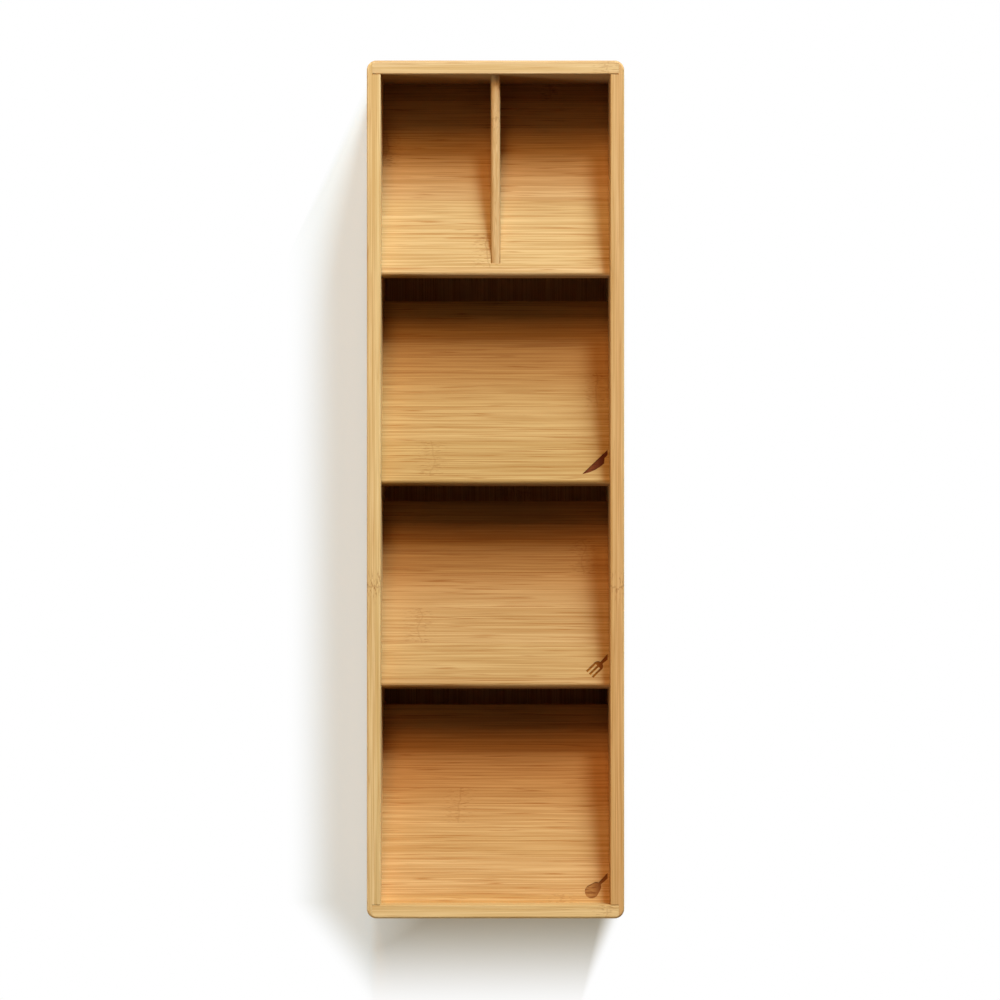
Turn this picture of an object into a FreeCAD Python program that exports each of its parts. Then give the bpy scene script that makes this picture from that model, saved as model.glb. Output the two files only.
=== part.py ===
import FreeCAD, Part
import os

import Sketcher

# Drawer tray of bamboo boards with four overlapping, sloping tiers.
# Sizes in millimetres. +Z is up, +Y points to the back, +X to the right.
# The origin is on the supporting surface, below the middle of the tray.

SIZES = {
    # Outside of the tray
    "tray_length": 400.0,
    "tray_width": 120.0,
    "tray_height": 65.0,
    # Boards of the frame
    "wall_thickness": 6.5,
    "corner_radius": 4.5,
    "lip_thickness": 2.5,
    "outer_round": 1.1,
    "rim_round": 0.6,
    "joint_gap": 0.05,
    # Sloping shelves: each nose lies a little behind its quarter of the room inside the tray
    "shelf_thickness": 5.0,
    "shelf_slope": 17.0,
    "shelf_drop": 8.0,
    "shelf_housing": 3.0,
    "shelf_end_round": 0.6,
    "nose_round": 2.0,
    "teaspoon_nose_setback": 2.5,
    "knife_nose_setback": 1.7,
    "fork_nose_setback": 3.4,
    # Throats: open slots between the low end of a shelf and the nose behind it
    "knife_throat": 9.2,
    "fork_throat": 6.9,
    "spoon_throat": 8.8,
    # Divider of the back tier
    "divider_thickness": 4.4,
    "divider_drop": 3.2,
    "divider_fall": 6.1,
    "divider_housing": 1.5,
    "divider_round": 2.0,
    # Base panel and feet
    "base_thickness": 3.0,
    "base_lift": 3.0,
    "base_housing": 3.0,
    "foot_drop": 1.5,
    "foot_diameter": 10.0,
    "foot_recess": 0.6,
    "foot_round": 0.8,
    "foot_inset": 9.0,
    # Burnt marks at the right front corners of three shelves
    "mark_depth": 0.3,
    "mark_turn": 45.0,
    "mark_handle_width": 1.9,
    "mark_neck_width": 1.1,
    "mark_wall_gap": 0.9,
    "knife_mark_inset": 12.9,
    "knife_mark_setback": 4.8,
    "knife_blade_length": 13.1,
    "knife_blade_depth": 3.6,
    "knife_heel_length": 2.1,
    "fork_mark_inset": 9.4,
    "fork_mark_setback": 6.0,
    "fork_tine_length": 5.6,
    "fork_tine_width": 1.0,
    "fork_tine_pitch": 1.9,
    "spoon_mark_inset": 10.7,
    "spoon_mark_setback": 2.2,
    "spoon_bowl_length": 8.6,
    "spoon_bowl_width": 6.4,
    "spoon_neck_width": 4.6,
}

doc = FreeCAD.newDocument("CutleryTray")
sheet = doc.addObject("Spreadsheet::Sheet", "Sizes")
for row, (alias, amount) in enumerate(SIZES.items(), start=1):
    sheet.set(f"A{row}", alias)
    sheet.set(f"B{row}", str(amount))
    sheet.setAlias(f"B{row}", alias)
doc.recompute()

# Places worked out from the sizes, as formulas on the names in the sheet
GAP = "Sizes.joint_gap"
HALF_WIDTH = "(Sizes.tray_width / 2)"
HALF_LENGTH = "(Sizes.tray_length / 2)"
INNER_X = f"({HALF_WIDTH} - Sizes.wall_thickness)"
INNER_Y = f"({HALF_LENGTH} - Sizes.wall_thickness)"
LIP_X = f"({HALF_WIDTH} - Sizes.lip_thickness)"
ROUND_X = f"({HALF_WIDTH} - Sizes.corner_radius)"
ROUND_Y = f"({HALF_LENGTH} - Sizes.corner_radius)"
BOARD_HEIGHT = "(Sizes.tray_height - Sizes.foot_drop)"
BASE_BOTTOM = "(Sizes.foot_drop + Sizes.base_lift)"
COS = "cos(Sizes.shelf_slope)"
SIN = "sin(Sizes.shelf_slope)"
TAN = "tan(Sizes.shelf_slope)"
SHELF_TOP = "(Sizes.tray_height - Sizes.shelf_drop)"
SHELF_HALF = "(Sizes.shelf_thickness / 2)"
NOSE_FLAT = f"({SHELF_HALF} - Sizes.nose_round)"
NOSE_Z = f"({SHELF_TOP} - {NOSE_FLAT} * {COS} - Sizes.nose_round * (1 - {SIN}))"
NOSE_LEAN = f"({NOSE_FLAT} * {SIN} + Sizes.nose_round * (1 - {COS}))"
TEASPOON_NOSE = f"({INNER_Y} / 2 + Sizes.teaspoon_nose_setback)"
KNIFE_NOSE = "(Sizes.knife_nose_setback)"
FORK_NOSE = f"(Sizes.fork_nose_setback - {INNER_Y} / 2)"

# Two places nearer than this are one place
TOUCHING = 1e-4


# Drawing helpers

def new_body(label):
    body = doc.addObject("PartDesign::Body", label)
    body.Label = label
    return body


def new_sketch(body, name, role, place=("0", "0", "0"), turn="0"):
    """A sketch on an origin plane of the body, moved by place and turned about its normal."""
    planes = [feature for feature in body.Origin.OriginFeatures if feature.Role == role]
    sketch = body.newObject("Sketcher::SketchObject", name)
    sketch.AttachmentSupport = [(planes[0], "")]
    sketch.MapMode = "FlatFace"
    for axis, formula in zip("xyz", place):
        sketch.setExpression(f"AttachmentOffset.Base.{axis}", formula)
    sketch.setExpression("AttachmentOffset.Rotation.Angle", turn)
    doc.recompute()
    return sketch


def value_of(formula):
    return float(sheet.evalExpression(formula))


def point_of(formulas):
    return FreeCAD.Vector(value_of(formulas[0]), value_of(formulas[1]), 0)


def bind(sketch, kind, references, formula):
    constraint = Sketcher.Constraint(kind, *references, value_of(formula))
    index = sketch.addConstraint(constraint)
    sketch.setExpression(f"Constraints[{index}]", formula)


def pin(sketch, geometry, vertex, formulas, axes="XY"):
    """Hold a vertex of the geometry at its distances from the sketch's origin."""
    for axis, formula in zip("XY", formulas):
        if axis in axes:
            bind(sketch, f"Distance{axis}", (-1, 1, geometry, vertex), formula)


def draw_outline(sketch, starts, centres=None, loose=None):
    """A closed outline through the starts.

    A piece with an entry in centres is an arc, anticlockwise about that centre. A start in
    loose is where an arc ends, so only the axes named there are held and the arc gives the rest.
    """
    centres = centres or {}
    loose = loose or {}
    first = sketch.GeometryCount
    count = len(starts)
    corners = [point_of(start) for start in starts]
    for step in range(count):
        begin = corners[step]
        end = corners[(step + 1) % count]
        if step in centres:
            centre = point_of(centres[step])
            circle = Part.Circle(centre, FreeCAD.Vector(0, 0, 1), begin.distanceToPoint(centre))
            sketch.addGeometry(Part.ArcOfCircle(circle, circle.parameter(begin), circle.parameter(end)))
        else:
            sketch.addGeometry(Part.LineSegment(begin, end))
    for step in range(count):
        following = first + (step + 1) % count
        sketch.addConstraint(Sketcher.Constraint("Coincident", first + step, 2, following, 1))
    for step, start in enumerate(starts):
        pin(sketch, first + step, 1, start, loose.get(step, "XY"))
        if step in centres:
            pin(sketch, first + step, 3, centres[step])


def draw_box(sketch, low_x, high_x, low_y, high_y):
    draw_outline(sketch, [(low_x, low_y), (high_x, low_y), (high_x, high_y), (low_x, high_y)])


def draw_circle(sketch, centre, diameter):
    circle = Part.Circle(point_of(centre), FreeCAD.Vector(0, 0, 1), value_of(diameter) / 2)
    geometry = sketch.addGeometry(circle)
    pin(sketch, geometry, 3, centre)
    bind(sketch, "Diameter", (geometry,), diameter)


def pad(body, sketch, name, length, both_ways=False):
    feature = body.newObject("PartDesign::Pad", name)
    feature.Profile = sketch
    feature.SideType = "Symmetric" if both_ways else "One side"
    feature.setExpression("Length", length)
    doc.recompute()


def pocket(body, sketch, name, depth, along_normal=False, both_ways=False):
    """Cut the sketch into the body and make sure that something was cut."""
    before = body.Shape.Volume
    feature = body.newObject("PartDesign::Pocket", name)
    feature.Profile = sketch
    feature.Reversed = along_normal
    feature.SideType = "Symmetric" if both_ways else "One side"
    feature.setExpression("Length", depth)
    doc.recompute()
    if body.Shape.Volume >= before:
        raise RuntimeError(f"{body.Label}: {name} cuts nothing")


def round_edges(body, name, radius, is_wanted):
    """Round every edge of the body's own shape that passes the test is_wanted."""
    base = body.Tip
    names = [f"Edge{index}" for index, edge in enumerate(base.Shape.Edges, start=1) if is_wanted(edge)]
    feature = body.newObject("PartDesign::Fillet", name)
    feature.Base = (base, names)
    feature.setExpression("Radius", radius)
    doc.recompute()


def same(first, second):
    return abs(first - second) < TOUCHING


def lies_at(edge, axis, place):
    """Whether the whole edge lies in the plane where the axis has the value place."""
    box = edge.BoundBox
    return same(getattr(box, f"{axis}Min"), place) and same(getattr(box, f"{axis}Max"), place)


# Frame boards

def arc_end(across):
    """How far out along the length the corner round reaches at this place across the width."""
    return f"({ROUND_Y} + sqrt(Sizes.corner_radius ^ 2 - ({across} - {ROUND_X}) ^ 2))"


def ease_board(body, axis, outer_face, inner_face):
    """Round the outer edges at top and bottom, with the corners, and the inner edge of the rim."""
    top = value_of("Sizes.tray_height")
    bottom = value_of("Sizes.foot_drop")

    def is_outside(edge):
        on_face = edge.Curve.TypeId == "Part::GeomCircle" or lies_at(edge, axis, outer_face)
        return on_face and (lies_at(edge, "Z", top) or lies_at(edge, "Z", bottom))

    def is_on_rim(edge):
        return lies_at(edge, "Z", top) and lies_at(edge, axis, inner_face)

    round_edges(body, "rounded_outside", "Sizes.outer_round", is_outside)
    round_edges(body, "eased_rim", "Sizes.rim_round", is_on_rim)


def side_board(label, sign):
    """A long wall. A thin lip at each end of it wraps the end boards."""
    body = new_body(label)
    turn = "0" if sign > 0 else "180"
    shoulder = f"({INNER_Y} - {GAP})"
    plan = new_sketch(body, "plan", "XY_Plane", ("0", "0", "Sizes.foot_drop"), turn)
    starts = [
        (INNER_X, f"-{shoulder}"),
        (LIP_X, f"-{shoulder}"),
        (LIP_X, f"-{arc_end(LIP_X)}"),
        (HALF_WIDTH, f"-{ROUND_Y}"),
        (HALF_WIDTH, ROUND_Y),
        (LIP_X, arc_end(LIP_X)),
        (LIP_X, shoulder),
        (INNER_X, shoulder),
    ]
    centres = {2: (ROUND_X, f"-{ROUND_Y}"), 4: (ROUND_X, ROUND_Y)}
    draw_outline(plan, starts, centres, loose={3: "Y", 5: "X"})
    pad(body, plan, "board", BOARD_HEIGHT)
    ease_board(body, "X", sign * value_of(HALF_WIDTH), sign * value_of(INNER_X))

    face = INNER_X if sign > 0 else f"-{INNER_X}"
    groove = new_sketch(body, "base_groove_outline", "YZ_Plane", ("0", "0", face))
    draw_base_groove(groove, INNER_Y)
    pocket(body, groove, "base_groove", "Sizes.base_housing", along_normal=sign > 0)
    for shelf in SHELVES:
        place = (shelf["front_y"], shelf["front_z"], face)
        slot = new_sketch(body, f"{shelf['label']}_slot_outline", "YZ_Plane", place, "-Sizes.shelf_slope")
        draw_shelf_section(slot, shelf, GAP)
        pocket(body, slot, f"{shelf['label']}_slot", "Sizes.shelf_housing", along_normal=sign > 0)
    return body


def end_board(label, sign):
    """A short wall, let into the rabbets of the side boards."""
    body = new_body(label)
    turn = "0" if sign > 0 else "180"
    tongue = f"({LIP_X} - {GAP})"
    plan = new_sketch(body, "plan", "XY_Plane", ("0", "0", "Sizes.foot_drop"), turn)
    starts = [
        (f"-{tongue}", INNER_Y),
        (tongue, INNER_Y),
        (tongue, arc_end(tongue)),
        (ROUND_X, HALF_LENGTH),
        (f"-{ROUND_X}", HALF_LENGTH),
        (f"-{tongue}", arc_end(tongue)),
    ]
    centres = {2: (ROUND_X, ROUND_Y), 4: (f"-{ROUND_X}", ROUND_Y)}
    draw_outline(plan, starts, centres, loose={3: "X", 5: "X"})
    pad(body, plan, "board", BOARD_HEIGHT)
    ease_board(body, "Y", sign * value_of(HALF_LENGTH), sign * value_of(INNER_Y))

    face = f"-{INNER_Y}" if sign > 0 else INNER_Y
    groove = new_sketch(body, "base_groove_outline", "XZ_Plane", ("0", "0", face))
    draw_base_groove(groove, LIP_X)
    pocket(body, groove, "base_groove", "Sizes.base_housing", along_normal=sign < 0)
    return body


def back_board():
    body = end_board("back_end_board", 1)
    slot = new_sketch(body, "divider_slot_outline", "YZ_Plane")
    draw_divider_side(slot, GAP)
    pocket(body, slot, "divider_slot", f"Sizes.divider_thickness + 2 * {GAP}", both_ways=True)
    return body


# Base panel and feet

def draw_base_groove(sketch, reach):
    draw_box(sketch, f"-{reach}", reach, BASE_BOTTOM, f"{BASE_BOTTOM} + Sizes.base_thickness + {GAP}")


def foot_places():
    across = f"({INNER_X} - Sizes.foot_inset)"
    along = f"({INNER_Y} - Sizes.foot_inset)"
    return {
        "foot_front_left": (f"-{across}", f"-{along}"),
        "foot_front_right": (across, f"-{along}"),
        "foot_back_left": (f"-{across}", along),
        "foot_back_right": (across, along),
    }


def base_panel():
    """Thin floor of the tray, held in a groove all round, with shallow seats for the feet."""
    body = new_body("base_panel")
    half_x = f"({INNER_X} + Sizes.base_housing - {GAP})"
    half_y = f"({INNER_Y} + Sizes.base_housing - {GAP})"
    plan = new_sketch(body, "plan", "XY_Plane", ("0", "0", BASE_BOTTOM))
    draw_box(plan, f"-{half_x}", half_x, f"-{half_y}", half_y)
    pad(body, plan, "panel", "Sizes.base_thickness")
    seats = new_sketch(body, "foot_seat_outline", "XY_Plane", ("0", "0", BASE_BOTTOM))
    for centre in foot_places().values():
        draw_circle(seats, centre, f"Sizes.foot_diameter + 2 * {GAP}")
    pocket(body, seats, "foot_seats", "Sizes.foot_recess", along_normal=True)
    return body


def foot(label, centre):
    """Round non-slip foot, glued in its seat under the base panel."""
    body = new_body(label)
    body.setExpression("Placement.Base.x", centre[0])
    body.setExpression("Placement.Base.y", centre[1])
    plan = new_sketch(body, "plan", "XY_Plane")
    draw_circle(plan, ("0", "0"), "Sizes.foot_diameter")
    pad(body, plan, "pad", f"{BASE_BOTTOM} + Sizes.foot_recess")
    round_edges(body, "eased_tread", "Sizes.foot_round", lambda edge: lies_at(edge, "Z", 0))
    return body


# Sloping shelves, drawn along their own length with +Y running down towards the back.
# A shelf's own origin is on its front face, half way through its thickness. The nose leans back
# with the slope. The last shelf has no nose, because it meets the front board.

def nosed_shelf(label, nose, low_end=None):
    """A shelf with its nose in front. Without a low end it runs on to the back board."""
    front_y = f"({nose} + {NOSE_LEAN})"
    shelf = {"label": label, "front_y": front_y, "front_z": NOSE_Z, "nose": True}
    if low_end is None:
        shelf["end"] = f"(({INNER_Y} - {front_y}) / {COS})"
        shelf["end_lean"] = TAN
    else:
        shelf["end"] = f"(({low_end} - {front_y} - {SHELF_HALF} * {SIN}) / {COS})"
        shelf["end_lean"] = "0"
    return shelf


def last_shelf(label, low_end):
    front_y = f"(-{INNER_Y})"
    return {
        "label": label,
        "front_y": front_y,
        "front_z": f"({SHELF_TOP} - {SHELF_HALF} / {COS})",
        "nose": False,
        "end": f"(({low_end} - {front_y} - {SHELF_HALF} * {SIN}) / {COS})",
        "end_lean": "0",
    }


SHELVES = [
    nosed_shelf("teaspoon_shelf", TEASPOON_NOSE),
    nosed_shelf("knife_shelf", KNIFE_NOSE, f"({TEASPOON_NOSE} - Sizes.knife_throat)"),
    nosed_shelf("fork_shelf", FORK_NOSE, f"({KNIFE_NOSE} - Sizes.fork_throat)"),
    last_shelf("spoon_shelf", f"({FORK_NOSE} - Sizes.spoon_throat)"),
]


def draw_shelf_section(sketch, shelf, room="0"):
    """The shelf seen from its side, grown by room all round."""
    half = f"({SHELF_HALF} + {room})"
    end = f"({shelf['end']} + {room})"
    low_back = (f"{end} + {half} * {shelf['end_lean']}", f"-{half}")
    high_back = (f"{end} - {half} * {shelf['end_lean']}", half)
    if shelf["nose"]:
        starts = [
            ("Sizes.nose_round", half),
            (f"-{room}", NOSE_FLAT),
            (f"-{room}", f"-{NOSE_FLAT}"),
            ("Sizes.nose_round", f"-{half}"),
            low_back,
            high_back,
        ]
        centres = {0: ("Sizes.nose_round", NOSE_FLAT), 2: ("Sizes.nose_round", f"-{NOSE_FLAT}")}
        draw_outline(sketch, starts, centres, loose={1: "Y", 3: "X"})
    else:
        high_front = (f"-{half} * {TAN} - {room}", half)
        low_front = (f"{half} * {TAN} - {room}", f"-{half}")
        draw_outline(sketch, [high_front, low_front, low_back, high_back])


def shelf_board(shelf):
    body = new_body(shelf["label"])
    body.Placement = FreeCAD.Placement(FreeCAD.Vector(), FreeCAD.Rotation(FreeCAD.Vector(1, 0, 0), -1))
    body.setExpression("Placement.Base.y", shelf["front_y"])
    body.setExpression("Placement.Base.z", shelf["front_z"])
    body.setExpression("Placement.Rotation.Angle", "-Sizes.shelf_slope")
    section = new_sketch(body, "section", "YZ_Plane")
    draw_shelf_section(section, shelf)
    pad(body, section, "board", f"2 * ({INNER_X} + Sizes.shelf_housing - {GAP})", both_ways=True)
    if shelf["end_lean"] == "0":
        end = value_of(shelf["end"])
        round_edges(body, "eased_low_end", "Sizes.shelf_end_round",
                    lambda edge: lies_at(edge, "Y", end) and edge.BoundBox.XLength > edge.BoundBox.ZLength)
    return body


def teaspoon_shelf(shelf):
    """The back shelf has a shallow housing for the foot of the divider."""
    body = shelf_board(shelf)
    housing = new_sketch(body, "divider_housing_outline", "YZ_Plane")
    depth = f"({SHELF_HALF} - Sizes.divider_housing - {GAP})"
    past_end = f"{shelf['end']} + Sizes.shelf_thickness"
    draw_box(housing, f"{DIVIDER_TIP} - {GAP}", past_end, depth, "Sizes.shelf_thickness")
    pocket(body, housing, "divider_housing", f"Sizes.divider_thickness + 2 * {GAP}", both_ways=True)
    return body


# Divider: a wedge whose top falls a little from the back board and runs out on the teaspoon shelf

DIVIDER_TOP = "(Sizes.tray_height - Sizes.divider_drop)"
DIVIDER_LOW = f"({DIVIDER_TOP} - Sizes.divider_fall)"
DIVIDER_TIP = f"(({NOSE_Z} + {SHELF_HALF} * {COS} - {DIVIDER_LOW}) / {SIN})"


def draw_divider_side(sketch, room="0"):
    shelf_front = SHELVES[0]["front_y"]
    front = f"({shelf_front} + {DIVIDER_TIP} * {COS} + {SHELF_HALF} * {SIN})"
    back = f"({INNER_Y} + Sizes.divider_housing)"
    sunk = f"({DIVIDER_LOW} - Sizes.divider_housing / {COS})"
    draw_outline(sketch, [
        (f"{front} - {room}", f"{sunk} - {room}"),
        (f"{back} + {room}", f"{sunk} - ({back} - {front}) * {TAN} - {room}"),
        (f"{back} + {room}", f"{DIVIDER_TOP} + {room}"),
        (f"{front} - {room}", f"{DIVIDER_LOW} + {room}"),
    ])


def teaspoon_divider():
    body = new_body("teaspoon_divider")
    side = new_sketch(body, "side", "YZ_Plane")
    draw_divider_side(side)
    pad(body, side, "fin", "Sizes.divider_thickness", both_ways=True)
    low = value_of(DIVIDER_LOW) - TOUCHING
    round_edges(body, "eased_top", "Sizes.divider_round",
                lambda edge: edge.BoundBox.ZMin > low and edge.BoundBox.YLength > edge.BoundBox.XLength)
    return body


# Burnt marks: sketched on the upper face, along a slanting axis, and cut off just short of the right wall

def mark_sketch(body, name, inset, setback):
    place = (f"{INNER_X} - {inset}", setback, SHELF_HALF)
    return new_sketch(body, name, "XY_Plane", place, "Sizes.mark_turn")


def mark_end(inset, across):
    """Where a mark stops before the right wall, at this place across the mark's axis."""
    run = f"({inset} - Sizes.mark_wall_gap + ({across}) * sin(Sizes.mark_turn))"
    return (f"({run} / cos(Sizes.mark_turn))", across)


def burn(body, sketch, name):
    pocket(body, sketch, name, "Sizes.mark_depth")


def burn_handle(body, inset, setback, begin):
    """A handle that widens from its neck to the wall."""
    neck = "(Sizes.mark_neck_width / 2)"
    half = "(Sizes.mark_handle_width / 2)"
    handle = mark_sketch(body, "handle_outline", inset, setback)
    starts = [(begin, f"-{neck}"), mark_end(inset, f"-{half}"), mark_end(inset, half), (begin, neck)]
    draw_outline(handle, starts)
    burn(body, handle, "handle_mark")


def knife_mark(body):
    inset = "Sizes.knife_mark_inset"
    setback = "Sizes.knife_mark_setback"
    heel = "(Sizes.knife_blade_length - Sizes.knife_heel_length)"
    depth = "Sizes.knife_blade_depth"
    centre_height = f"(({heel} ^ 2 - {depth} ^ 2) / (2 * {depth}))"
    outline = mark_sketch(body, "knife_outline", inset, setback)
    starts = [
        ("0", "0"),
        (heel, f"-{depth}"),
        ("Sizes.knife_blade_length", "-Sizes.mark_handle_width"),
        mark_end(inset, "-Sizes.mark_handle_width"),
        mark_end(inset, "0"),
    ]
    draw_outline(outline, starts, centres={0: (heel, centre_height)}, loose={1: "X"})
    burn(body, outline, "knife_mark")


def fork_mark(body):
    inset = "Sizes.fork_mark_inset"
    setback = "Sizes.fork_mark_setback"
    root = "Sizes.fork_tine_length"
    half_tine = "(Sizes.fork_tine_width / 2)"
    half_head = f"(Sizes.fork_tine_pitch + {half_tine})"
    head = mark_sketch(body, "head_outline", inset, setback)
    starts = [(root, f"-{half_head}"), (root, half_head)]
    draw_outline(head, starts, centres={0: (root, "0")}, loose={1: "X"})
    burn(body, head, "head_mark")
    tines = mark_sketch(body, "tine_outline", inset, setback)
    for side in (-1, 0, 1):
        middle = f"({side} * Sizes.fork_tine_pitch)"
        end = f"({root} + {half_tine})"
        draw_box(tines, "0", end, f"{middle} - {half_tine}", f"{middle} + {half_tine}")
    burn(body, tines, "tine_marks")
    burn_handle(body, inset, setback, f"{root} + {half_tine}")


def spoon_mark(body):
    inset = "Sizes.spoon_mark_inset"
    setback = "Sizes.spoon_mark_setback"
    bowl = "(Sizes.spoon_bowl_width / 2)"
    neck = "(Sizes.spoon_neck_width / 2)"
    neck_place = f"(Sizes.spoon_bowl_length - {neck})"
    lean = f"acos(({bowl} - {neck}) / ({neck_place} - {bowl}))"
    outline = mark_sketch(body, "bowl_outline", inset, setback)
    starts = [
        (f"{bowl} + {bowl} * cos({lean})", f"{bowl} * sin({lean})"),
        (f"{bowl} + {bowl} * cos({lean})", f"-{bowl} * sin({lean})"),
        (f"{neck_place} + {neck} * cos({lean})", f"-{neck} * sin({lean})"),
        (f"{neck_place} + {neck} * cos({lean})", f"{neck} * sin({lean})"),
    ]
    centres = {0: (bowl, "0"), 2: (neck_place, "0")}
    draw_outline(outline, starts, centres, loose={1: "X", 3: "X"})
    burn(body, outline, "bowl_mark")
    burn_handle(body, inset, setback, neck_place)


# The tray

def build_tray():
    bodies = [side_board("left_side_board", -1), side_board("right_side_board", 1)]
    bodies += [back_board(), end_board("front_end_board", -1), base_panel()]
    bodies += [foot(label, centre) for label, centre in foot_places().items()]
    back, second, third, last = SHELVES
    knife, fork, spoon = shelf_board(second), shelf_board(third), shelf_board(last)
    knife_mark(knife)
    fork_mark(fork)
    spoon_mark(spoon)
    return bodies + [teaspoon_shelf(back), knife, fork, spoon, teaspoon_divider()]


def check(bodies):
    for item in doc.Objects:
        if "Invalid" in item.State or "Error" in item.State:
            raise RuntimeError(f"{item.Name} failed: {item.State}")
    for body in bodies:
        if body.Shape.isNull() or not body.Shape.isValid() or len(body.Shape.Solids) != 1:
            raise RuntimeError(f"{body.Label} is not one sound solid")


tray = build_tray()
doc.recompute()
check(tray)
os.makedirs("parts", exist_ok=True)
for piece in tray:
    piece.Shape.exportStep(f"parts/{piece.Label}.step")
    print(f"{piece.Label}: {piece.Shape.Volume / 1000:.2f} cm3")
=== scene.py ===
import math

import bpy
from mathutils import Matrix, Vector


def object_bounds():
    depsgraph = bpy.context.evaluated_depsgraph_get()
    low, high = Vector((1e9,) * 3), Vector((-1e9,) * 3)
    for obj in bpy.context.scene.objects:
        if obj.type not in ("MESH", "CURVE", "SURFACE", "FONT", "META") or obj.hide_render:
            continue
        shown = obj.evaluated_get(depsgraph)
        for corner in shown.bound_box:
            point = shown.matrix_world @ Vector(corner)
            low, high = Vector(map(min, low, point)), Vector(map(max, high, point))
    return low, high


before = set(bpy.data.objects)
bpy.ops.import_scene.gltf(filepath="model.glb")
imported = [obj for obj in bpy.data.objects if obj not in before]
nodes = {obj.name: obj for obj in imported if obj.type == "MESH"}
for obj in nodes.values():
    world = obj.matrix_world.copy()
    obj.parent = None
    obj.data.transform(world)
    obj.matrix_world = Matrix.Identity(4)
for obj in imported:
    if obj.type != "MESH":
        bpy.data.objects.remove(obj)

# Looks of a bamboo drawer tray with four overlapping, sloping tiers.
# The frame is in metres. Grain and marks are worked out in millimetres.

cad_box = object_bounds()
MM = 0.001
PER_MM = 1000.0

# The tray as its boards were cut
SHELF_SLOPE = math.radians(17)
STRIP_WIDTH = 17.0
PLY_DEPTH = 1.6
SHELF_STRIP_SHIFT = (0.0, -4.0, -0.6)
MARK_DEPTH = 0.3
MARK_LEFT_LIMIT = 38.0
MARK_FRONT_LIMIT = 1.4
MARK_BACK_LIMIT = 26.0

# The view: straight down, from a height above the rim
CAMERA_HEIGHT = 1.5
CAMERA_SHIFT_X = 0.0021
CAMERA_SHIFT_Y = -0.0049
LENS = 115.9
SENSOR = 36.0


# Node helpers

def shade(red, green, blue):
    """A colour given as it looks on a screen, 0 to 255, as the linear light that a shader takes."""
    def linear(level):
        level = level / 255
        return level / 12.92 if level <= 0.04045 else ((level + 0.055) / 1.055) ** 2.4
    return (linear(red), linear(green), linear(blue), 1.0)


def place(tree, kind, values=None, **settings):
    """Add a node. A value that is a socket is linked to its input, any other is set on it."""
    made = tree.nodes.new(kind)
    for name, setting in settings.items():
        setattr(made, name, setting)
    fill(tree, made, values or {})
    return made


def fill(tree, made, values):
    """Link or set the inputs of a node, by their names or numbers."""
    for name, value in values.items():
        if isinstance(value, bpy.types.NodeSocket):
            tree.links.new(value, made.inputs[name])
        else:
            made.inputs[name].default_value = value


def calc(tree, operation, first, second=0.0):
    return place(tree, "ShaderNodeMath", {0: first, 1: second}, operation=operation).outputs[0]


def ramp(tree, value, start, end, low=0.0, high=1.0):
    """Low before start, high after end, and a smooth step between them."""
    values = {"Value": value, "From Min": start, "From Max": end, "To Min": low, "To Max": high}
    return place(tree, "ShaderNodeMapRange", values, interpolation_type="SMOOTHSTEP").outputs["Result"]


def blend(tree, share, first, second, how="MIX"):
    """Mix two colours by a share from 0 to 1."""
    mix = place(tree, "ShaderNodeMix", {0: share, 6: first, 7: second},
                data_type="RGBA", blend_type=how, clamp_factor=True)
    return mix.outputs[2]


def stretched_noise(tree, spot, cells, detail=2.0):
    """Noise drawn out along the grain. cells gives the cells per millimetre along it and across it."""
    along, across = cells
    scaled = place(tree, "ShaderNodeVectorMath", {0: spot, 1: (along, across, across)},
                   operation="MULTIPLY")
    noise = place(tree, "ShaderNodeTexNoise", {"Vector": scaled.outputs[0], "Scale": 1.0, "Detail": detail})
    return noise.outputs["Fac"]


def new_group(name, inputs, outputs):
    """A shader node group with named sockets, and its two end nodes."""
    group = bpy.data.node_groups.new(name, "ShaderNodeTree")
    for label, kind, value in inputs:
        socket = group.interface.new_socket(label, in_out="INPUT", socket_type=kind)
        if value is not None:
            socket.default_value = value
    for label, kind in outputs:
        group.interface.new_socket(label, in_out="OUTPUT", socket_type=kind)
    source = group.nodes.new("NodeGroupInput").outputs
    target = group.nodes.new("NodeGroupOutput").inputs
    return group, source, target


def use_group(tree, group, values):
    made = tree.nodes.new("ShaderNodeGroup")
    made.node_tree = group
    fill(tree, made, values)
    return made.outputs


# Bamboo: strips glued side by side in thin plies, with fibre lines along them and knuckles across.
# A tint is a multiple of the board's own colour.

PALE_TINT = (1.14, 1.20, 1.33, 1.0)
WARM_TINT = (0.87, 0.79, 0.65, 1.0)
OLIVE_TINT = (0.95, 0.99, 0.88, 1.0)
LINE_TINT = (0.68, 0.48, 0.26, 1.0)
KNOT_TINT = (0.50, 0.31, 0.17, 1.0)
FIBRE_TINT = (0.91, 0.88, 0.84, 1.0)
# Painted shade at a shelf's low end, under the nose above it
LOW_END_PAINTED_SHADE = (0.82, 0.64, 0.41, 1.0)
WORN_TINT = (1.04, 1.05, 1.07, 1.0)
# Painted shade on the front face of a shelf's nose
NOSE_PAINTED_SHADE = (0.55, 0.45, 0.34, 1.0)
# Deeper burn, and painted shade near the right wall
BURN_AND_SHADE_TINT = (0.56, 0.42, 0.32, 1.0)

# Patterns in the grain: cells per millimetre along it and across it,
# and the levels that a pattern is drawn between
WANDER_CELLS = (0.006, 0.03)
WANDER_REACH = 2.0
BROAD_CELLS = (0.004, 0.25)
BROAD_LEVELS = (0.32, 0.68)
NARROW_CELLS = (0.014, 1.35)
NARROW_LEVELS = (0.36, 0.64)
FIBRE_CELLS = (0.03, 2.8)
FIBRE_LEVELS = (0.3, 0.7)
LINE_CELLS = (0.01, 0.95)
LINE_LEVELS = (0.0, 0.04)
PRESENCE_CELLS = (0.035, 0.5)
PRESENCE_LEVELS = (0.4, 0.58)
BURN_CELLS = (0.25, 1.4)
BURN_LEVELS = (0.35, 0.7)

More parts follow.
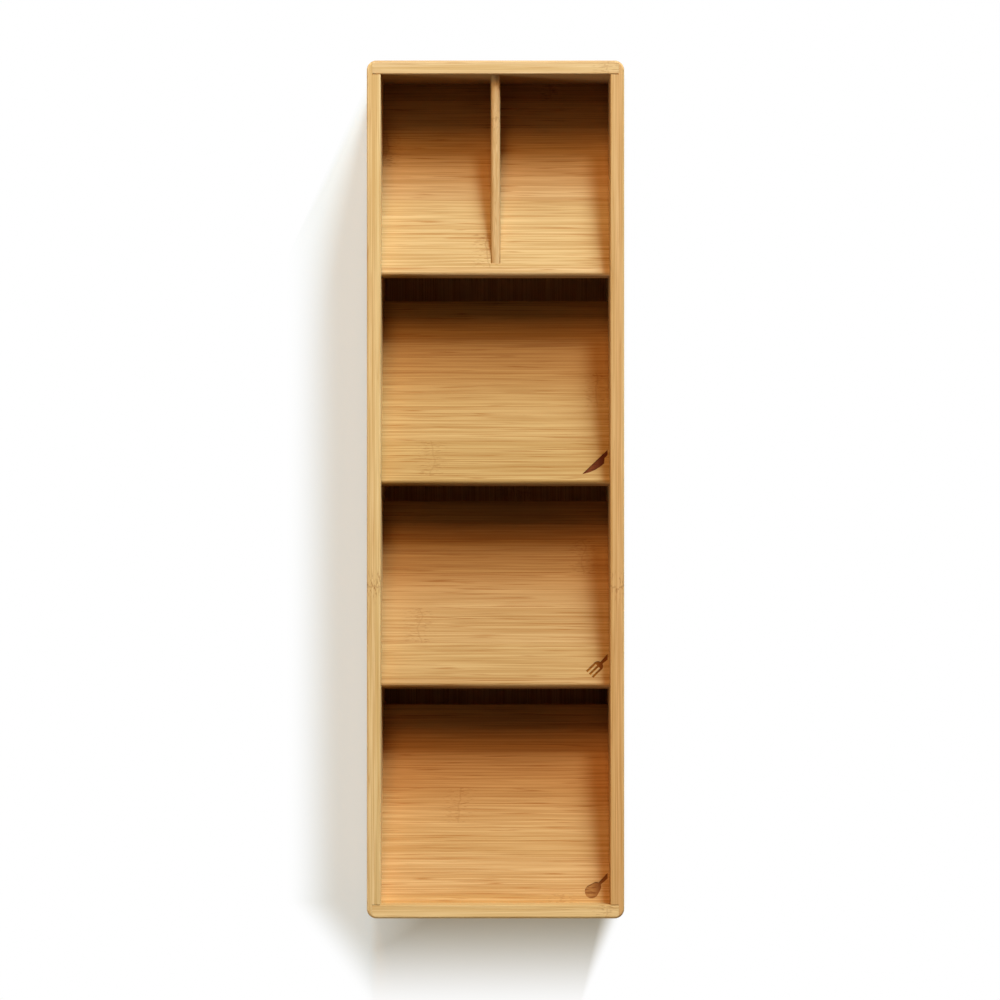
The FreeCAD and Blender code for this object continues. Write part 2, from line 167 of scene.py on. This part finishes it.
# Glue lines and knuckles: how far they fade out, in millimetres, and how strong they are
GLUE_FADE = (0.05, 0.4)
GLUE_STRENGTH = 0.5
KNUCKLE_PITCH = 330.0
KNUCKLE_STEP = 0.382
KNUCKLE_FADE = (2.0, 10.0)
DASH_CELLS = (0.3, 2.2)
DASH_LEVELS = (0.54, 0.66)
WAVE_CELLS = (0.0, 0.09)
WAVE_REACH = 9.0
RIDGE_FADE = (0.15, 0.6)
RIDGE_STRENGTH = 0.45

# What each pattern adds to the tone, the roughness and the height
STRIP_TONE = 0.3
BROAD_TONE = 0.2
NARROW_TONE = 0.5
OLIVE_SHARE = 0.6
DULLNESS = 0.62
FIBRE_ROUGHNESS = 0.2
MARK_ROUGHNESS = 0.12
FIBRE_HEIGHT = 0.5
# How far the grain of each strip is moved at most, along, across and through it
STRIP_SHUFFLE = (900.0, 90.0, 90.0)

# Burnt marks: the shares of their depth between which the burn sets in and at which the mark's floor ends,
# and where the marks turn darker towards the right wall, painted shade of the wall's shadow
BURN_EDGE_START = 0.1
BURN_EDGE_END = 0.5
BURN_FLOOR = 1.5
BURN_WALL_SHADE = (44.0, 50.0)


def fibre_lines(tree, spot):
    """Thin dark lines, long along the grain, stronger in some places than in others."""
    drift = stretched_noise(tree, spot, LINE_CELLS, 1.0)
    off_line = calc(tree, "ABSOLUTE", calc(tree, "SUBTRACT", drift, 0.5))
    line = ramp(tree, off_line, *LINE_LEVELS, 1.0, 0.0)
    presence = ramp(tree, stretched_noise(tree, spot, PRESENCE_CELLS, 1.0), *PRESENCE_LEVELS)
    return calc(tree, "MULTIPLY", line, presence)


def glue_lines(tree, strip_place, width):
    """Fine lines where two strips meet."""
    in_strip = calc(tree, "FRACT", strip_place)
    nearer = calc(tree, "MINIMUM", in_strip, calc(tree, "SUBTRACT", 1.0, in_strip))
    return ramp(tree, calc(tree, "MULTIPLY", nearer, width), *GLUE_FADE, GLUE_STRENGTH, 0.0)


def knuckles(tree, spot, along, strip, given):
    """Bands of short fine dashes about a thin wavy line.

    Each strip has its knuckles a fixed step further on than the strip beside it.
    """
    steps = calc(tree, "MULTIPLY", calc(tree, "SUBTRACT", strip, given["Knuckle Strip"]), KNUCKLE_STEP)
    turns = calc(tree, "DIVIDE", calc(tree, "SUBTRACT", along, given["Knuckle Place"]), KNUCKLE_PITCH)
    in_turn = calc(tree, "FRACT", calc(tree, "ADD", calc(tree, "ADD", turns, steps), 0.5))
    offset = calc(tree, "MULTIPLY", calc(tree, "SUBTRACT", in_turn, 0.5), KNUCKLE_PITCH)
    band = ramp(tree, calc(tree, "ABSOLUTE", offset), *KNUCKLE_FADE, 1.0, 0.0)
    dashes = ramp(tree, stretched_noise(tree, spot, DASH_CELLS), *DASH_LEVELS)
    off_middle = calc(tree, "SUBTRACT", stretched_noise(tree, spot, WAVE_CELLS), 0.5)
    off_ridge = calc(tree, "ADD", offset, calc(tree, "MULTIPLY", off_middle, WAVE_REACH))
    ridge = ramp(tree, calc(tree, "ABSOLUTE", off_ridge), *RIDGE_FADE, RIDGE_STRENGTH, 0.0)
    return calc(tree, "MAXIMUM", calc(tree, "MULTIPLY", band, dashes), ridge)


def bamboo_group():
    group, given, out = new_group(
        "bamboo_grain",
        [
            ("Spot", "NodeSocketVector", None),
            ("Base", "NodeSocketColor", (1, 1, 1, 1)),
            ("Seed", "NodeSocketFloat", 0.0),
            ("Contrast", "NodeSocketFloat", 1.0),
            ("Line Strength", "NodeSocketFloat", 0.5),
            ("Strip Width", "NodeSocketFloat", STRIP_WIDTH),
            ("Ply Depth", "NodeSocketFloat", PLY_DEPTH),
            ("Knuckle Place", "NodeSocketFloat", 0.0),
            ("Knuckle Strip", "NodeSocketFloat", 0.0),
            ("Knuckle Strength", "NodeSocketFloat", 0.5),
        ],
        [("Color", "NodeSocketColor"), ("Roughness", "NodeSocketFloat"), ("Height", "NodeSocketFloat")],
    )
    spot = given["Spot"]
    axes = place(group, "ShaderNodeSeparateXYZ", {0: spot}).outputs
    wander = calc(group, "SUBTRACT", stretched_noise(group, spot, WANDER_CELLS), 0.5)
    across = calc(group, "ADD", axes["Y"], calc(group, "MULTIPLY", wander, WANDER_REACH))

    # Each strip of each ply has a chance and a piece of grain of its own
    strip_place = calc(group, "DIVIDE", across, given["Strip Width"])
    strip = calc(group, "FLOOR", strip_place)
    ply = calc(group, "FLOOR", calc(group, "DIVIDE", axes["Z"], given["Ply Depth"]))
    cell = place(group, "ShaderNodeCombineXYZ", {"X": strip, "Y": ply, "Z": given["Seed"]}).outputs[0]
    dice = place(group, "ShaderNodeTexWhiteNoise", {"Vector": cell}, noise_dimensions="3D")
    chance = dice.outputs["Color"]
    chances = place(group, "ShaderNodeSeparateColor", {0: chance}).outputs
    shuffle = place(group, "ShaderNodeVectorMath", {0: chance, 1: STRIP_SHUFFLE}, operation="MULTIPLY")
    straight = place(group, "ShaderNodeCombineXYZ", {"X": axes["X"], "Y": across, "Z": axes["Z"]})
    moved = place(group, "ShaderNodeVectorMath", {0: straight.outputs[0], 1: shuffle.outputs[0]})
    own_spot = moved.outputs[0]

    # Tone: of the strip, of broad streaks and of narrow ones
    broad = ramp(group, stretched_noise(group, own_spot, BROAD_CELLS), *BROAD_LEVELS)
    narrow = ramp(group, stretched_noise(group, own_spot, NARROW_CELLS), *NARROW_LEVELS)
    streaks = calc(group, "ADD", calc(group, "MULTIPLY", broad, BROAD_TONE),
                   calc(group, "MULTIPLY", narrow, NARROW_TONE))
    tone = calc(group, "ADD", calc(group, "MULTIPLY", chances[0], STRIP_TONE), streaks)
    off_tone = calc(group, "MULTIPLY", calc(group, "SUBTRACT", tone, 0.5), given["Contrast"])
    tint = blend(group, calc(group, "ADD", off_tone, 0.5), PALE_TINT, WARM_TINT)
    tint = blend(group, calc(group, "MULTIPLY", chances[2], OLIVE_SHARE), tint, OLIVE_TINT, "MULTIPLY")

    lines = calc(group, "MAXIMUM", fibre_lines(group, own_spot),
                 glue_lines(group, strip_place, given["Strip Width"]))
    knots = knuckles(group, own_spot, axes["X"], strip, given)
    marks = calc(group, "MAXIMUM", lines, knots)
    fibre = stretched_noise(group, own_spot, FIBRE_CELLS, 3.0)
    tint = blend(group, calc(group, "MULTIPLY", lines, given["Line Strength"]), tint, LINE_TINT)
    tint = blend(group, calc(group, "MULTIPLY", knots, given["Knuckle Strength"]), tint, KNOT_TINT)
    tint = blend(group, ramp(group, fibre, *FIBRE_LEVELS), tint, FIBRE_TINT, "MULTIPLY")
    group.links.new(blend(group, 1.0, given["Base"], tint, "MULTIPLY"), out["Color"])

    rough = calc(group, "ADD", calc(group, "MULTIPLY", fibre, FIBRE_ROUGHNESS),
                 calc(group, "MULTIPLY", marks, MARK_ROUGHNESS))
    group.links.new(calc(group, "ADD", rough, DULLNESS), out["Roughness"])
    height = calc(group, "SUBTRACT", calc(group, "MULTIPLY", fibre, FIBRE_HEIGHT), marks)
    group.links.new(height, out["Height"])
    return group


def burn_group():
    """Where a mark was burnt into a shelf: its sunk floor, in a zone at the right front corner."""
    group, given, out = new_group(
        "burnt_mark",
        [("Spot", "NodeSocketVector", None)],
        [("Mask", "NodeSocketFloat"), ("Burn And Wall Shade", "NodeSocketFloat")],
    )
    axes = place(group, "ShaderNodeSeparateXYZ", {0: given["Spot"]}).outputs
    depth = calc(group, "MULTIPLY", axes["Z"], -1.0)
    mask = ramp(group, depth, MARK_DEPTH * BURN_EDGE_START, MARK_DEPTH * BURN_EDGE_END)
    limits = [
        calc(group, "LESS_THAN", depth, MARK_DEPTH * BURN_FLOOR),
        calc(group, "GREATER_THAN", axes["X"], MARK_LEFT_LIMIT),
        calc(group, "GREATER_THAN", axes["Y"], MARK_FRONT_LIMIT),
        calc(group, "LESS_THAN", axes["Y"], MARK_BACK_LIMIT),
    ]
    for limit in limits:
        mask = calc(group, "MULTIPLY", mask, limit)
    group.links.new(mask, out["Mask"])
    uneven = ramp(group, stretched_noise(group, given["Spot"], BURN_CELLS), *BURN_LEVELS)
    # Painted shade: the marks darker towards the right wall, whose shadow falls on them
    wall_shade = ramp(group, axes["X"], *BURN_WALL_SHADE)
    group.links.new(calc(group, "MAXIMUM", uneven, wall_shade), out["Burn And Wall Shade"])
    return group


# Where the grain of a board lies: X along the fibres, Y across the strips and Z through the plies

def object_spot(tree):
    return place(tree, "ShaderNodeTexCoord").outputs["Object"]


def upright_spot(tree, order):
    """Grain space of an upright board. order names the frame's axes along, across and through it."""
    axes = place(tree, "ShaderNodeSeparateXYZ", {0: object_spot(tree)}).outputs
    turned = place(tree, "ShaderNodeCombineXYZ", dict(zip("XYZ", [axes[axis] for axis in order])))
    values = {"Vector": turned.outputs[0], "Scale": (PER_MM,) * 3}
    return place(tree, "ShaderNodeMapping", values).outputs[0]


def sloping_spot(tree, shelf, shift=(0.0, 0.0, 0.0)):
    """Grain space of a shelf: the frame turned by the slope, from the front and upper face of the shelf."""
    points = [corner.co for corner in nodes[shelf].data.vertices]
    front = min(point.y * math.cos(SHELF_SLOPE) - point.z * math.sin(SHELF_SLOPE) for point in points)
    face = max(point.y * math.sin(SHELF_SLOPE) + point.z * math.cos(SHELF_SLOPE) for point in points)
    zero = Vector(shift) - Vector((0.0, front, face)) * PER_MM
    values = {"Vector": object_spot(tree), "Scale": (PER_MM,) * 3, "Rotation": (SHELF_SLOPE, 0.0, 0.0),
              "Location": zero}
    return place(tree, "ShaderNodeMapping", values).outputs[0]


# Materials

# Painted shade and painted light on the outer plies of a board: the axis they face along, at its low or high
# end, their tint, their depth and how far in they show on the rim
# Painted shade on faces turned towards the lamps behind the tray
BACK_FACING_PAINTED_SHADE = (0.52, 0.455, 0.37, 1.0)
# Painted light lifts and warms the side faces, which the cool key leaves dark; their back ends get painted
# shade
SIDE_PAINTED_LIGHT_AND_SHADE = [
    ("Z", min, (1.0, 0.98, 0.92, 1.0), 0.8, 0.3),
    ("Z", max, (1.08, 1.02, 0.92, 1.0), 0.8, 0.3),
    ("X", max, BACK_FACING_PAINTED_SHADE, 4.5, 1.4),
]
# Painted shade: the back board's inner face dark as if in shadow, its outer face darkened against the lamps
BACK_BOARD_PAINTED_SHADE = [
    ("Z", min, (0.6, 0.5, 0.4, 1.0), 4.0, 0.3),
    ("Z", max, BACK_FACING_PAINTED_SHADE, 4.0, 1.4),
]
# Painted shade on the front board's inner face, which faces the lamps
FRONT_BOARD_PAINTED_SHADE = [
    ("Z", min, (0.97, 0.95, 0.95, 1.0), 4.0, 0.3),
    ("Z", max, BACK_FACING_PAINTED_SHADE, 4.0, 0.8),
]
# Painted shade on the faces of the divider and the base panel
INNER_PAINTED_SHADE = [
    ("Z", min, (0.93, 0.93, 0.88, 1.0), 0.8, 0.3),
    ("Z", max, (0.97, 0.91, 0.82, 1.0), 0.8, 0.3),
]
# Depth of the rim, which the painted shade and light on the faces stop below
RIM_DEPTH = 0.8
FRONT_TINT = (0.98, 0.89, 0.77, 1.0)

# Parts of a shelf: how far from its front edge the painted shade of its low end begins and the wear ends,
# and how far below its upper face the painted shade of the nose sets in
LOW_END_SHADE_RISE = (30.0, 60.0)
WORN_FADE = (0.5, 3.0)
NOSE_SHADE_RISE = (-0.5, -1.6)

SIDE_GRAIN = {"Contrast": 1.25, "Knuckle Place": -45.0, "Knuckle Strip": 3.0, "Knuckle Strength": 0.85}
END_GRAIN = {"Knuckle Place": 100.0}
DIVIDER_GRAIN = {"Knuckle Place": 173.0, "Knuckle Strip": 3.0}
SHELF_GRAIN = {"Contrast": 1.4, "Line Strength": 0.75, "Knuckle Strength": 0.42}
TEASPOON_GRAIN = {"Knuckle Place": -3.6, "Knuckle Strength": 0.6}
LACQUER_SPECULAR = 0.3
RELIEF = 0.1 * MM
BAMBOO_BUMP = 0.2
RUBBER_BUMP = 0.3
RUBBER_CELLS = (3.0, 3.0)
RUBBER_DARK = shade(38, 38, 40)
RUBBER_PALE = shade(66, 66, 68)
RUBBER_ROUGHNESS = (0.7, 0.9)
SPECKLE_LEVELS = (0.2, 0.8)
GRAIN = bamboo_group()
BURN = burn_group()


def new_material(name):
    material = bpy.data.materials.new(name)
    material.use_nodes = True
    tree = material.node_tree
    tree.nodes.clear()
    shader = place(tree, "ShaderNodeBsdfPrincipled")
    output = place(tree, "ShaderNodeOutputMaterial", {"Surface": shader.outputs[0]})
    output.is_active_output = True
    return material, tree, shader


def raise_surface(tree, shader, height, strength):
    bump = place(tree, "ShaderNodeBump", {"Height": height, "Strength": strength, "Distance": RELIEF})
    tree.links.new(bump.outputs[0], shader.inputs["Normal"])


def finish_bamboo(tree, shader, color, grain):
    """Dull lacquer over the grain, which can still be felt a little."""
    tree.links.new(color, shader.inputs["Base Color"])
    tree.links.new(grain["Roughness"], shader.inputs["Roughness"])
    shader.inputs["Specular IOR Level"].default_value = LACQUER_SPECULAR
    raise_surface(tree, shader, grain["Height"], BAMBOO_BUMP)


def paint_face_shading(tree, board, order, axes, color, face_shading):
    """Paint shade and light into the outer plies at the faces of a board, less deep at its upper edge."""
    points = [corner.co * PER_MM for corner in nodes[board].data.vertices]
    places = {axis: [getattr(point, name.lower()) for point in points] for axis, name in zip("XYZ", order)}
    upper_edge = max(places["Y"])
    below = ramp(tree, axes["Y"], upper_edge - RIM_DEPTH, upper_edge - RIM_DEPTH / 4, 1.0, 0.0)
    for axis, end, tint, depth, rim_reach in face_shading:
        face = end(places[axis])
        inward = 1.0 if end is min else -1.0
        on_face = calc(tree, "MULTIPLY", ramp(tree, axes[axis], face + inward * depth, face), below)
        on_rim = ramp(tree, axes[axis], face + inward * rim_reach, face)
        color = blend(tree, calc(tree, "MAXIMUM", on_face, on_rim), color, tint, "MULTIPLY")
    return color


def board_material(board, order, base, face_shading, grain_values, front_tint=None):
    """An upright or level board. front_tint is its tint at the front end, fading towards the back."""
    material, tree, shader = new_material(f"bamboo_{board}")
    spot = upright_spot(tree, order)
    axes = place(tree, "ShaderNodeSeparateXYZ", {0: spot}).outputs
    grain = use_group(tree, GRAIN, {"Spot": spot, "Base": base} | grain_values)
    # Painted shade and light on the faces of the board
    color = paint_face_shading(tree, board, order, axes, grain["Color"], face_shading)
    if front_tint:
        low, high = cad_box
        share = ramp(tree, axes["X"], low.y * PER_MM, high.y * PER_MM, 1.0, 0.0)
        color = blend(tree, share, color, front_tint, "MULTIPLY")
    finish_bamboo(tree, shader, color, grain)
    return material


def shelf_material(shelf, base, grain_values, burnt=None):
    """A sloping shelf, worn at its front edge, with painted shade at its low end and on its nose below that
    edge, and its burnt mark where it has one.
    """
    material, tree, shader = new_material(f"bamboo_{shelf}")
    values = {"Spot": sloping_spot(tree, shelf, SHELF_STRIP_SHIFT), "Base": base}
    grain = use_group(tree, GRAIN, values | grain_values)
    own_spot = sloping_spot(tree, shelf)
    axes = place(tree, "ShaderNodeSeparateXYZ", {0: own_spot}).outputs
    # Painted shade at the low end, which lies in the shadow of the nose above
    color = blend(tree, ramp(tree, axes["Y"], *LOW_END_SHADE_RISE), grain["Color"], LOW_END_PAINTED_SHADE, "MULTIPLY")
    at_front = ramp(tree, axes["Y"], *WORN_FADE, 1.0, 0.0)
    color = blend(tree, at_front, color, WORN_TINT, "MULTIPLY")
    # Painted shade on the nose's front face, below its worn edge
    below = ramp(tree, axes["Z"], *NOSE_SHADE_RISE)
    color = blend(tree, calc(tree, "MULTIPLY", at_front, below), color, NOSE_PAINTED_SHADE, "MULTIPLY")
    if burnt:
        mark = use_group(tree, BURN, {"Spot": own_spot})
        # Burn, deeper in places, with painted shade near the right wall
        charred = blend(tree, mark["Burn And Wall Shade"], burnt, BURN_AND_SHADE_TINT, "MULTIPLY")
        color = blend(tree, mark["Mask"], color, charred)
    finish_bamboo(tree, shader, color, grain)
    if burnt:
        dull = calc(tree, "MAXIMUM", grain["Roughness"], mark["Mask"])
        tree.links.new(dull, shader.inputs["Roughness"])
    return material


def rubber_material():
    """Soft dark rubber with a fine dull speckle."""
    material, tree, shader = new_material("foot_rubber")
    speckle = stretched_noise(tree, upright_spot(tree, "XYZ"), RUBBER_CELLS, 3.0)
    tree.links.new(blend(tree, speckle, RUBBER_DARK, RUBBER_PALE), shader.inputs["Base Color"])
    tree.links.new(ramp(tree, speckle, *SPECKLE_LEVELS, *RUBBER_ROUGHNESS), shader.inputs["Roughness"])
    raise_surface(tree, shader, speckle, RUBBER_BUMP)
    return material


def dress(name, material):
    mesh = nodes[name].data
    mesh.materials.clear()
    mesh.materials.append(material)


def dress_tray():
    side, end, level = "YZX", "XZY", "YXZ"
    boards = [
        ("left_side_board", side, shade(243, 205, 143), SIDE_PAINTED_LIGHT_AND_SHADE, SIDE_GRAIN | {"Seed": 1.0}),
        ("right_side_board", side, shade(228, 182, 120), SIDE_PAINTED_LIGHT_AND_SHADE, SIDE_GRAIN | {"Seed": 2.0}, FRONT_TINT),
        ("back_end_board", end, shade(238, 200, 142), BACK_BOARD_PAINTED_SHADE, END_GRAIN | {"Seed": 3.0}),
        ("front_end_board", end, shade(248, 207, 143), FRONT_BOARD_PAINTED_SHADE, END_GRAIN | {"Seed": 4.0}),
        ("teaspoon_divider", side, shade(238, 193, 132), INNER_PAINTED_SHADE, DIVIDER_GRAIN | {"Seed": 9.0}),
        ("base_panel", level, shade(204, 160, 106), INNER_PAINTED_SHADE, {"Seed": 10.0}),
    ]
    for board, *look in boards:
        dress(board, board_material(board, *look))
    shelves = [
        ("teaspoon_shelf", shade(207, 166, 108), TEASPOON_GRAIN | {"Seed": 5.0}),
        ("knife_shelf", shade(194, 152, 90), {"Seed": 6.0, "Knuckle Place": -30.0}, shade(118, 58, 22)),
        ("fork_shelf", shade(196, 151, 92), {"Seed": 7.0, "Knuckle Place": 90.0}, shade(158, 98, 26)),
        ("spoon_shelf", shade(208, 159, 97), {"Seed": 8.0, "Knuckle Place": -95.0}, shade(172, 116, 58)),
    ]
    for shelf, base, grain_values, *burnt in shelves:
        dress(shelf, shelf_material(shelf, base, SHELF_GRAIN | grain_values, *burnt))
    rubber = rubber_material()
    for name in nodes:
        if name.startswith("foot_"):
            dress(name, rubber)


# Stage: floor, light and camera

LAMP_DISTANCE = 3.5
COOL_LIGHT = (0.63, 0.83, 1.0)
WARM_LIGHT = (1.0, 0.62, 0.3)
WHITE_LIGHT = (1.0, 1.0, 1.0)
# Name, direction from the tray, width, height, share of the light and tint
LAMPS = [
    ("key", Vector((0.6, 2.3, 1.0)), 0.6, 1.55, 0.735, COOL_LIGHT),
    ("fill", Vector((-0.12, 1.2, 1.0)), 1.0, 1.55, 0.35, WARM_LIGHT),
    ("top", Vector((-0.1, 0.5, 1.0)), 1.0, 1.6, 0.05, WARM_LIGHT),
    ("front", Vector((-1.4, -2.0, 0.42)), 1.2, 0.8, 0.035, WHITE_LIGHT),
]
SKY = 0.05
WHITE = (1, 1, 1, 1)
FLOOR_SIZE = 12.0
FLOOR_COLOR = shade(250, 247, 242)
FLOOR_ROUGHNESS = 0.9
# Painted shadow colours, which the floor's white glow takes on close to the tray
LEFT_SHADE = shade(198, 219, 214)
FRONT_SHADE = shade(201, 189, 150)

# How the floor turns white outwards from each side of the tray, in metres.
# At the left it does so in two steps, each with its share of the white.
FRONT_FADE = (-0.019, 0.057)
LEFT_FADE = (-0.06, 0.004)
LEFT_FADE_SHARE = 0.58
FAR_LEFT_FADE = (0.014, 0.042)
FAR_LEFT_SHARE = 0.42
BACK_FADE = (-0.004, 0.006)
RIGHT_FADE = (-0.012, 0.005)
LEFT_SHADE_RISE = (-0.004, 0.002)
# Slants of the shadow's edges, and where the one at the back starts before the tray's back
FAR_LEFT_SLANT = 0.8
BACK_SLANT = 0.46
BACK_SLANT_START = 0.008
RIGHT_SLANT = 0.45


def slanted(tree, distance, past, slant):
    return calc(tree, "ADD", distance, calc(tree, "MULTIPLY", past, slant))


def white_share(tree):
    """How much of the floor shows plain white: none in the shadow close to the tray, all further out.

    The second value tells the shadow at the left from the one before the tray.
    """
    axes = place(tree, "ShaderNodeSeparateXYZ", {0: object_spot(tree)}).outputs
    low, high = cad_box
    before = calc(tree, "SUBTRACT", low.y, axes["Y"])
    past_front = calc(tree, "MAXIMUM", before, 0.0)
    past_back = calc(tree, "SUBTRACT", axes["Y"], high.y - BACK_SLANT_START)
    to_left = calc(tree, "SUBTRACT", low.x, axes["X"])
    to_right = calc(tree, "SUBTRACT", axes["X"], high.x)
    near_left = ramp(tree, to_left, *LEFT_FADE, 0.0, LEFT_FADE_SHARE)
    narrowing = slanted(tree, to_left, past_front, FAR_LEFT_SLANT)
    far_left = ramp(tree, narrowing, *FAR_LEFT_FADE, 0.0, FAR_LEFT_SHARE)
    shares = [
        ramp(tree, before, *FRONT_FADE),
        calc(tree, "ADD", near_left, far_left),
        ramp(tree, slanted(tree, to_left, past_back, BACK_SLANT), *BACK_FADE),
        ramp(tree, slanted(tree, to_right, past_front, RIGHT_SLANT), *RIGHT_FADE),
        calc(tree, "GREATER_THAN", axes["Y"], high.y),
    ]
    share = shares[0]
    for other in shares[1:]:
        share = calc(tree, "MAXIMUM", share, other)
    return share, ramp(tree, to_left, *LEFT_SHADE_RISE)


def make_floor():
    """A pale floor that keeps the shadow before the tray and at its left, with painted shadow colours in its
    glow there, and is white further out.
    """
    bpy.ops.object.select_all(action="DESELECT")
    bpy.ops.mesh.primitive_plane_add(size=FLOOR_SIZE)
    floor = bpy.context.object
    floor.name = "floor"
    material, tree, shader = new_material("pale_floor")
    shader.inputs["Base Color"].default_value = FLOOR_COLOR
    shader.inputs["Roughness"].default_value = FLOOR_ROUGHNESS
    share, at_left = white_share(tree)
    path = place(tree, "ShaderNodeLightPath").outputs
    seen = calc(tree, "MAXIMUM", path["Is Camera Ray"], path["Is Glossy Ray"])
    # The glow takes on painted shadow colours where it fades in near the tray
    glow_color = blend(tree, share, blend(tree, at_left, FRONT_SHADE, LEFT_SHADE), WHITE)
    glow = place(tree, "ShaderNodeEmission", {"Color": glow_color, "Strength": 1.0})
    mixed = place(tree, "ShaderNodeMixShader", {
        0: calc(tree, "MULTIPLY", share, seen),
        1: shader.outputs[0],
        2: glow.outputs[0],
    })
    output = next(item for item in tree.nodes if item.bl_idname == "ShaderNodeOutputMaterial")
    tree.links.new(mixed.outputs[0], output.inputs["Surface"])
    floor.data.materials.append(material)


def make_world():
    """Dim soft light from all round. The camera sees it white."""
    world = bpy.data.worlds.new("studio")
    bpy.context.scene.world = world
    world.use_nodes = True
    tree = world.node_tree
    tree.nodes.clear()
    path = place(tree, "ShaderNodeLightPath").outputs
    strength = ramp(tree, path["Is Camera Ray"], 0.0, 1.0, SKY, 1.0)
    sky = place(tree, "ShaderNodeBackground", {"Color": WHITE, "Strength": strength})
    place(tree, "ShaderNodeOutputWorld", {"Surface": sky.outputs[0]})


def soft_box(name, source, width, height, share, tint):
    """An area light aimed at the tray. At a share of 1 it alone shows a level white surface as white."""
    light = bpy.data.lights.new(name, "AREA")
    light.shape = "RECTANGLE"
    light.size = width
    light.size_y = height
    light.color = tint
    light.energy = share * (math.pi * LAMP_DISTANCE) ** 2 / source.normalized().z
    lamp = bpy.data.objects.new(name, light)
    bpy.context.scene.collection.objects.link(lamp)
    lamp.location = source.normalized() * LAMP_DISTANCE
    lamp.rotation_euler = source.to_track_quat("Z", "Y").to_euler()


def make_lights():
    """A low soft box behind the tray, two higher and warmer ones behind it, and a weak one before it."""
    for lamp in LAMPS:
        soft_box(*lamp)


def make_camera():
    data = bpy.data.cameras.new("camera")
    data.sensor_width = SENSOR
    data.lens = LENS
    camera = bpy.data.objects.new("camera", data)
    bpy.context.scene.collection.objects.link(camera)
    camera.location = (CAMERA_SHIFT_X, CAMERA_SHIFT_Y, cad_box[1].z + CAMERA_HEIGHT)
    bpy.context.scene.camera = camera


dress_tray()
make_floor()
make_world()
make_lights()
make_camera()
bpy.context.scene.view_settings.view_transform = "Standard"
